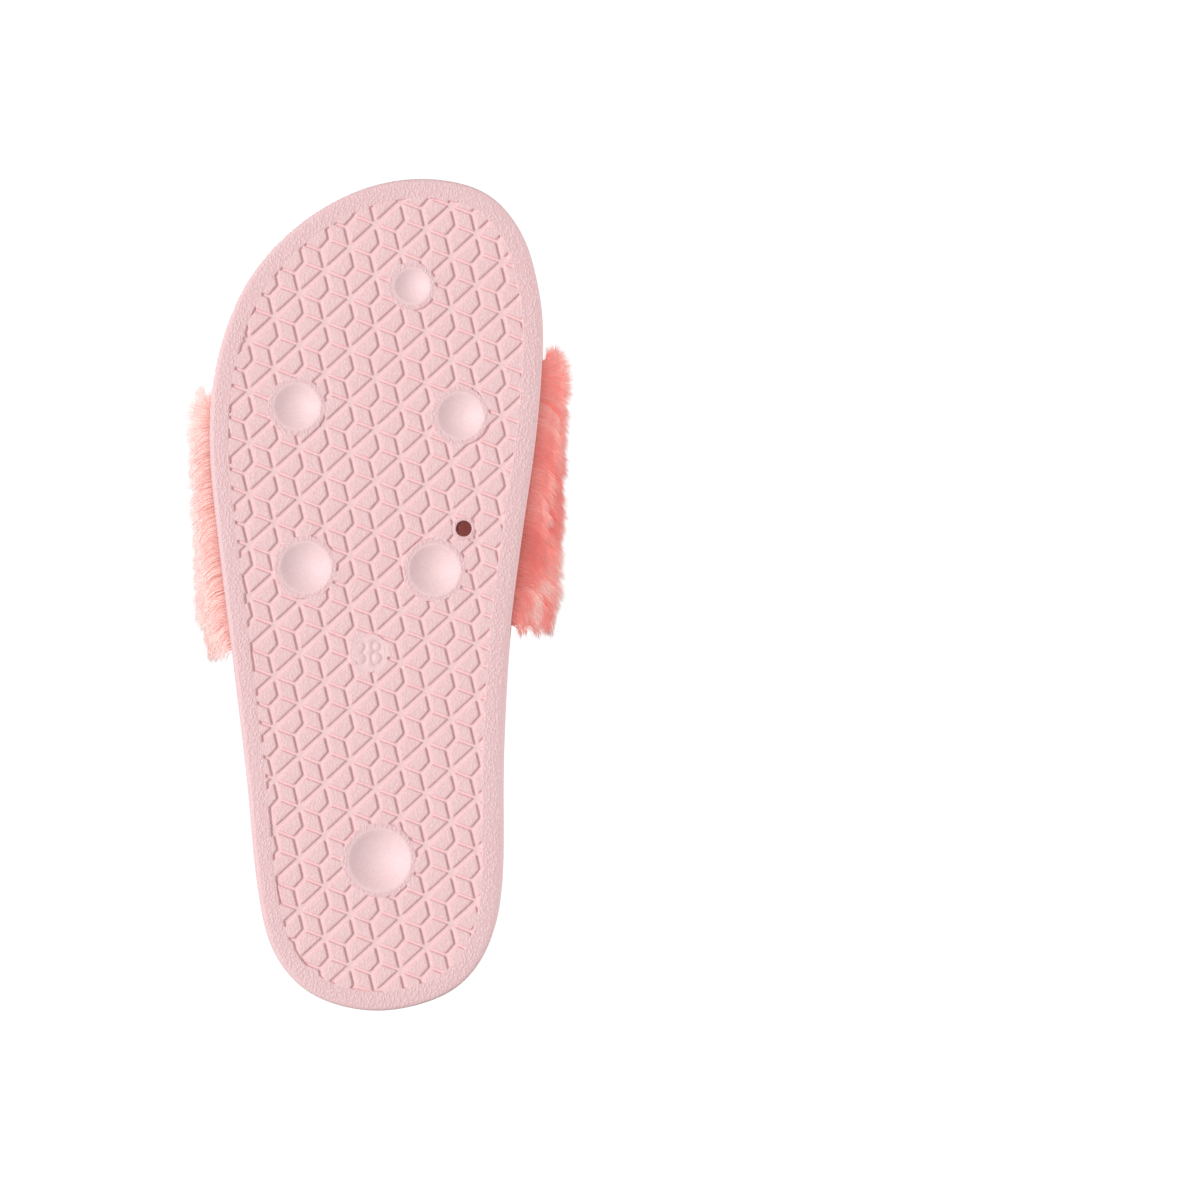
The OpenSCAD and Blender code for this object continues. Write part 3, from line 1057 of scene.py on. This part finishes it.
def make_binding(name, share):
    """A tape round one edge of the strap, with rounded edges and small puckers between its stitches."""
    half, radius = (TAPE_WIDTH / 2, FOAM_TOP / 2), TAPE_ROUNDING
    turn = np.linspace(0, 2 * np.pi, 20, endpoint=False)
    c, s = np.cos(turn), np.sin(turn)
    flat = (half[0] - radius + radius * np.abs(c), half[1] - radius + radius * np.abs(s))
    shift = half[0] + np.sign(np.round(c, 6)) * flat[0]
    d = half[1] + np.sign(np.round(s, 6)) * flat[1]
    u = np.linspace(0, 1, 181)[:, None]
    pucker = PUCKER_DEPTH * np.sin(2 * np.pi * u * PUCKERS) ** 2
    outer = np.clip((c if share else -c), 0, 1) * pucker
    shift = shift - TAPE_WIDTH * share
    y = across(u, share, shift + (-outer if share else outer))
    return join_parts(name, [tube_parts(strap_point(u, y, np.broadcast_to(d, y.shape)))])


STITCH_EDGE = 2.6
STITCH_PITCH = 5.2
STITCH_LENGTH = 3.2
STITCH_START = 0.13
THREAD_RADIUS = 0.35


def make_stitching(name, share):
    """A row of stitches on the lining: each lies on the cloth and dips into it at both ends."""
    arch_length = 2.6 * (ARCH[1] + ARCH[-1]) / 2 + ARCH_TOP[0] / 2
    count = int(arch_length * (1 - 2 * STITCH_START) / STITCH_PITCH)
    shift = -STITCH_EDGE if share else STITCH_EDGE
    t = np.linspace(0, 1, 9)
    ring = np.linspace(0, 2 * np.pi, 10, endpoint=False)
    parts = []
    for k in range(count):
        start = STITCH_START + (1 - 2 * STITCH_START) * k / count
        run = STITCH_LENGTH / STITCH_PITCH * (1 - 2 * STITCH_START) / count
        u = (start + run * t)[:, None]
        swell = np.sqrt(np.clip(1 - (2 * t - 1) ** 6, 0.02, 1))[:, None] * THREAD_RADIUS
        sunk = 0.30 * np.abs(2 * t - 1)[:, None] ** 3
        y = across(u, share, shift + swell * np.cos(ring))
        d = -0.42 + sunk + 0.9 * swell * np.sin(ring)
        parts.append(tube_parts(strap_point(u, y, d), (k / count, (k + 0.9) / count)))
    return join_parts(name, parts)


lining = dress(make_lining(), knit_material(), ["strap_lining"])
foam_pad = dress(make_foam_pad(), padding_material(), ["foam_padding"])
tape = tape_material()
front_tape = dress(make_binding("front_binding_tape", 0), tape, ["front_binding"])
rear_tape = dress(make_binding("rear_binding_tape", 1), tape, ["rear_binding"])
thread = thread_material()
front_thread = dress(make_stitching("front_stitching_thread", 0), thread, ["front_stitching"])
rear_thread = dress(make_stitching("rear_stitching_thread", 1), thread, ["rear_stitching"])
lining_flat, lining_area = cut_size(LAYER_SHARES, LINING / 2, TAPE_WIDTH)

board = board_material()
for node in ("strap_stiffener", "anchor_tab_medial", "anchor_tab_lateral"):
    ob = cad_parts[node]
    ob.data.materials.clear()
    ob.data.materials.append(board)

# ---- the plush: a backing cloth and its pile

BACKING_TOP = 4.9
BACKING_SHARES = np.linspace(0, 1, 31)
PILE_LENGTH = 12.3
PILE_RADIUS = 0.11
PILE_PIECES = 6
STRANDS = 9800
CLUMP_PITCH = 3.0
# How far each strand is drawn to its clump's middle at the tip
CLUMP_GATHER = 0.28
PILE_LEVELS = np.array([0.0, 0.4, 0.75, 1.0])
PILE_TAPER = np.array([1.0, 0.9, 0.6])
PILE_LOW = 4.0
# Degrees of lean towards the heel, by distance from the front edge and from the rear edge
FRONT_LEAN = [0, 3, 9], [-62, -22, 40]
REAR_LEAN = [0, 5, 12], [68, 56, 40]
REAR_ZONE = 13
MOST_LEAN = 86
# Degrees of lean down the side of the foot, by distance from the strap's end
DROOP = [0, 6, 20, 60, 84], [16, 8, 12, 4, 0]
# How much of the lean each third of a strand has
BEND = (0.45, 1.0, 1.45)

rng = np.random.default_rng(SEED)


def plush_places(count):
    """Random places on the backing, even over its surface: u, y, and the distances to its edges."""
    u_table = np.linspace(0, 1, 801)
    mid = strap_point(u_table, across(u_table, 0.5), BACKING_TOP)
    along = np.concatenate([[0], np.cumsum(np.linalg.norm(np.diff(mid, axis=0), axis=1))])
    widest = (edge_y(u_table, REAR) - edge_y(u_table, FRONT)).max()
    us, ys = [], []
    found = 0
    while found < count:
        a = rng.uniform(0, along[-1], count)
        w = rng.uniform(0, widest, count)
        u = np.interp(a, along, u_table)
        front, rear = edge_y(u, FRONT), edge_y(u, REAR)
        ok = w < rear - front
        us.append(u[ok])
        ys.append((front + w)[ok])
        found += ok.sum()
    u, y = np.concatenate(us)[:count], np.concatenate(ys)[:count]
    foot = np.minimum(np.interp(u, u_table, along), along[-1] - np.interp(u, u_table, along))
    return u, y, foot, y - edge_y(u, FRONT), edge_y(u, REAR) - y


def lateral_share(u):
    """0 on the medial side of the strap and 1 on the lateral side, with a soft change over the crown."""
    return smooth((u - 0.3) / 0.4)


def strand_paths(u, y, foot, from_front, from_rear, tilt_along, tilt_across, length):
    """Points along each strand at the pile's levels, for strands rooted at u, y."""
    step = 1e-4
    root = strap_point(u, y, FOAM_TOP + 0.3)
    out = np.stack([np.cos(np.pi * u), np.zeros(len(u)), np.sin(np.pi * u)], 1)
    down = strap_point(u - step, y, BACKING_TOP) - strap_point(u + step, y, BACKING_TOP)
    down *= np.where(u < 0.5, 1, -1)[:, None]
    down /= np.linalg.norm(down, axis=1)[:, None]
    heelward = np.array([0.0, 1.0, 0.0])
    lean = np.interp(from_front, *FRONT_LEAN)
    lean = np.where(from_rear < REAR_ZONE, np.interp(from_rear, *REAR_LEAN), lean) + tilt_along
    droop = np.interp(foot, *DROOP) + tilt_across
    # Shorter at the front edge, at the sole and its rear corners, and on the lateral side
    short = 0.84 + 0.16 * smooth((from_front + 1) / 9) + 0.04 * smooth(1 - from_rear / 5)
    corner = smooth(1 - from_rear / 16) * smooth(1 - foot / 30)
    short *= (1 - 0.38 * corner) * (0.86 + 0.14 * smooth(foot / 9)) * (0.98 - 0.06 * lateral_share(u))
    parts = np.diff(PILE_LEVELS)
    points = [root]
    for k, bend in enumerate(BEND):
        a = np.radians(np.minimum(lean * bend, MOST_LEAN))[:, None]
        b = np.radians(droop * bend)[:, None]
        way = out * np.cos(a) * np.cos(b) + heelward * np.sin(a) + down * np.sin(b) * np.cos(a)
        points.append(points[-1] + way * (length * short * parts[k])[:, None])
    return np.stack(points, 1)


def nearest(points, centres):
    """The index of the nearest centre to each point."""
    out = np.zeros(len(points), int)
    for k in range(0, len(points), 4000):
        d = ((points[k : k + 4000, None] - centres[None]) ** 2).sum(2)
        out[k : k + 4000] = d.argmin(1)
    return out


def plush_clumps():
    area = cut_size(BACKING_SHARES, BACKING_TOP, 0.0)[1] / MM**2
    places = plush_places(int(area / CLUMP_PITCH**2))
    n = len(places[0])
    tilt_along, tilt_across = rng.normal(0, 7, n), rng.normal(0, 8, n)
    length = PILE_LENGTH * rng.uniform(0.93, 1.03, n)
    root = strap_point(places[0], places[1], BACKING_TOP)
    paths = strand_paths(*places, tilt_along, tilt_across, length)
    return root, paths, tilt_along, tilt_across, rng.uniform(0, 1, n)


clump_root, clump_path, clump_along, clump_across, clump_luck = plush_clumps()

# Random waves 13 to 30 mm long, stretched along the foot; their sum makes the soft patches
waves = rng.normal(0, 1, (14, 3)) * (1.0, 0.45, 1.0) * 2 * np.pi / rng.uniform(13, 30, (14, 1))
wave_starts = rng.uniform(0, 2 * np.pi, 14)


def patches(points):
    """Soft patches over the plush, where the pile is paler (up to 1) or deeper (down to -0.5)."""
    level = np.cos(points @ waves.T + wave_starts).sum(1) / math.sqrt(7)
    return smooth((level + 0.1) / 1.1) - 0.5 * smooth((-0.5 - level) / 0.9)


def make_pile(name):
    places = plush_places(STRANDS)
    u, y, foot, from_front, from_rear = places
    at = strap_point(u, y, BACKING_TOP)
    mine = nearest(at, clump_root)
    n = len(u)
    paths = strand_paths(
        *places,
        clump_along[mine] + rng.normal(0, 5, n),
        clump_across[mine] + rng.normal(0, 5, n),
        PILE_LENGTH * rng.uniform(0.82, 1.04, n),
    )
    gather = (CLUMP_GATHER * PILE_LEVELS**1.5)[None, :, None]
    paths = paths * (1 - gather) + clump_path[mine] * gather
    paths[..., 2] = np.maximum(paths[..., 2], PILE_LOW + 0.3 * (paths[..., 2] - PILE_LOW))

    way = np.gradient(paths, axis=1)
    way /= np.linalg.norm(way, axis=2)[..., None]
    side = np.cross(way, [0.31, 0.29, 0.9])
    side /= np.linalg.norm(side, axis=2)[..., None]
    other = np.cross(way, side)
    spin = rng.uniform(0, 2 * np.pi, n)[:, None] + np.arange(3) * 2 * np.pi / 3
    radius = PILE_RADIUS * rng.uniform(0.85, 1.15, n)
    radius = (radius[:, None] * PILE_TAPER)[..., None, None]
    c, s = np.cos(spin)[:, None, :, None], np.sin(spin)[:, None, :, None]
    rings = paths[:, :3, None] + radius * (side[:, :3, None] * c + other[:, :3, None] * s)
    points = np.concatenate([rings.reshape(n, 9, 3), paths[:, 3:]], 1).reshape(-1, 3)

    # A strand's ten points are three rings of three and its tip; its root is closed
    around = ((0, 1), (1, 2), (2, 0))
    quads = np.array([[r + a, r + b, r + 3 + b, r + 3 + a] for r in (0, 3) for a, b in around])
    tips = np.array([[6 + a, 6 + b, 9] for a, b in around] + [[2, 1, 0]])

    # The map: U is how pale the strand is, V runs from its root to its tip
    # Near the sole the lateral side is paler; the medial side is deeper and patchier, as in the photo
    # Painted light and shade: near the sole the lateral side, which faces the key light, is made paler,
    # and the medial side, shaded by the sole, is made deeper. The medial side is also a little deeper all
    # over
    low = smooth((34 - at[:, 2]) / 22)
    pale = 0.50 + 0.04 * rng.normal(0, 1, n)
    lateral = lateral_share(u)
    pale += (-0.10 + 0.64 * lateral) * low + 0.06 * (1 - low)
    pale += (0.66 - 0.50 * lateral) * patches(at) - 0.05 * (1 - lateral)
    pale += 0.14 * (clump_luck[mine] - 0.5)
    pale = np.clip(pale, 0.02, 0.98)
    level = np.concatenate([np.repeat(PILE_LEVELS[:3], 3), PILE_LEVELS[3:]])
    faces, uvs = [], []
    for pattern in (quads, tips):
        corners = pattern.shape[1]
        shift = np.broadcast_to(np.linspace(-0.002, 0.002, corners), (n, *pattern.shape))
        v = np.broadcast_to(level[pattern], shift.shape)
        uvs.append(np.stack([pale[:, None, None] + shift, 0.01 + 0.98 * v], -1).reshape(-1, 2))
        faces.append((pattern + 10 * np.arange(n)[:, None, None]).reshape(-1, corners))
    return make_mesh(name, points, faces, uv=np.vstack(uvs))


# From the deepest strand to the palest
PLUSH_COLOURS = [
    (0.0, (236, 104, 92)),
    (0.25, (251, 158, 148)),
    (0.5, (252, 190, 182)),
    (0.78, (253, 217, 211)),
    (1.0, (253, 235, 231)),
]


def plush_material():
    s = Shader("plush pile", 0.75, 0.25, sheen=0.35)
    at = s.map()
    pale, along = s.add("SeparateXYZ", inputs={0: at}).outputs[:2]
    ramp = s.add("ValToRGB", inputs={0: pale})
    ramp.color_ramp.elements.remove(ramp.color_ramp.elements[0])
    for k, (place, rgb) in enumerate(PLUSH_COLOURS):
        stop = ramp.color_ramp.elements[0] if k == 0 else ramp.color_ramp.elements.new(place)
        stop.position = place
        stop.color = linear(rgb)
    tip = ramp.outputs[0]
    root = s.mix(1.0, tip, (0.99, 0.90, 0.88, 1), "MULTIPLY")
    s.colour(s.grade(along, 0.15, 0.85, root, tip))
    s.rough(s.spread(along, 0.0, 1.0, 0.85, 0.7))
    # Stands for the light that passes from strand to strand in a dense pale pile
    s.bsdf.inputs["Emission Color"].default_value = (1.0, 0.50, 0.455, 1)
    s.bsdf.inputs["Emission Strength"].default_value = 0.24
    return s.material


def backing_material():
    s = Shader("plush backing", 0.9, 0.2, sheen=0.3)
    tufts = s.cells(900)
    # Painted shade: the backing is darkened in the hollows between its tufts
    s.colour(s.grade(tufts, 0.0, 0.6, (0.84, 0.34, 0.30, 1), (0.92, 0.46, 0.42, 1)))
    s.rough(s.spread(tufts, 0.0, 0.6, 0.95, 0.85))
    s.bump(tufts, 0.0003)
    return s.material


backing_grid = shell_ring(BACKING_SHARES, FOAM_TOP + 0.02, BACKING_TOP, 0.0)
backing = join_parts("fur_backing", [tube_parts(backing_grid, thin=True)])
backing = dress(backing, backing_material(), ["fur_cover"])
plush = plush_material()
piles = [dress(make_pile(f"fur_pile_{k + 1}"), plush) for k in range(PILE_PIECES)]
backing_flat, backing_area = cut_size(BACKING_SHARES, (FOAM_TOP + BACKING_TOP) / 2, 0.0)

# ---- camera, floor and light

camera = bpy.data.objects.new("camera", bpy.data.cameras.new("camera"))
bpy.context.scene.collection.objects.link(camera)
camera.data.sensor_width = 36
camera.data.lens = 120
camera.data.clip_end = 50
# Straight below, in metres; the photo's middle lies beside this slipper, between the pair
camera.location = (0.06645, 0.00165, -1.2)
camera.rotation_euler = (math.pi, 0, 0)
bpy.context.scene.camera = camera


def sun(name, towards, strength, angle, colour=(1, 1, 1)):
    """A distant soft light that shines from the direction given."""
    data = bpy.data.lights.new(name, "SUN")
    data.energy = strength
    data.angle = math.radians(angle)
    data.color = colour
    ob = bpy.data.objects.new(name, data)
    ob.rotation_euler = Vector(towards).to_track_quat("Z", "Y").to_euler()
    bpy.context.scene.collection.objects.link(ob)


def from_angles(turn, lift):
    """A direction turned from +X towards +Y, and lifted over the floor, in degrees."""
    a, e = math.radians(turn), math.radians(lift)
    return (math.cos(a) * math.cos(e), math.sin(a) * math.cos(e), math.sin(e))


sun("key from below", from_angles(184, -47), 0.72 * math.pi, 16)
sun("front light from below", from_angles(0, -90), 0.08 * math.pi, 40)
sun("fill from the right", from_angles(350, 6), 0.60 * math.pi, 40, (1, 0.97, 0.95))
sun("key from above", from_angles(215, 50), 0.55 * math.pi, 25)

world = bpy.data.worlds.new("studio")
bpy.context.scene.world = world
world.use_nodes = True
tree = world.node_tree
path = tree.nodes.new("ShaderNodeLightPath")
strength = tree.nodes.new("ShaderNodeMapRange")
strength.inputs[3].default_value = 0.4
strength.inputs[4].default_value = 1.05
tree.links.new(path.outputs["Is Camera Ray"], strength.inputs[0])
background = tree.nodes["Background"]
background.inputs["Color"].default_value = (1, 1, 1, 1)
tree.links.new(strength.outputs[0], background.inputs["Strength"])


FLOOR_HALF = 3000.0
FLOOR_LEVEL = -0.5


def make_floor():
    """A pale floor just under the sole, seen only by a camera that stands over it."""
    corners = np.array([[-1, -1], [1, -1], [1, 1], [-1, 1]]) * FLOOR_HALF
    corners = np.column_stack([corners, np.full(4, FLOOR_LEVEL)])
    ob = make_mesh("floor", corners, [np.array([[0, 1, 2, 3]])])
    s = Shader("pale floor", 0.9, 0.1)
    s.bsdf.inputs["Base Color"].default_value = (0.9, 0.89, 0.88, 1)
    light_path = s.add("LightPath")
    facing = s.math("SUBTRACT", 1.0, s.add("NewGeometry").outputs["Backfacing"])
    shown = s.math("MULTIPLY", light_path.outputs["Is Camera Ray"], facing)
    clear = s.add("BsdfTransparent")
    mixed = s.add("MixShader", inputs={0: shown, 1: clear.outputs[0], 2: s.bsdf.outputs[0]})
    s.tree.links.new(mixed.outputs[0], s.tree.nodes["Material Output"].inputs["Surface"])
    ob.data.materials.append(s.material)


make_floor()
bpy.context.scene.view_settings.view_transform = "Standard"
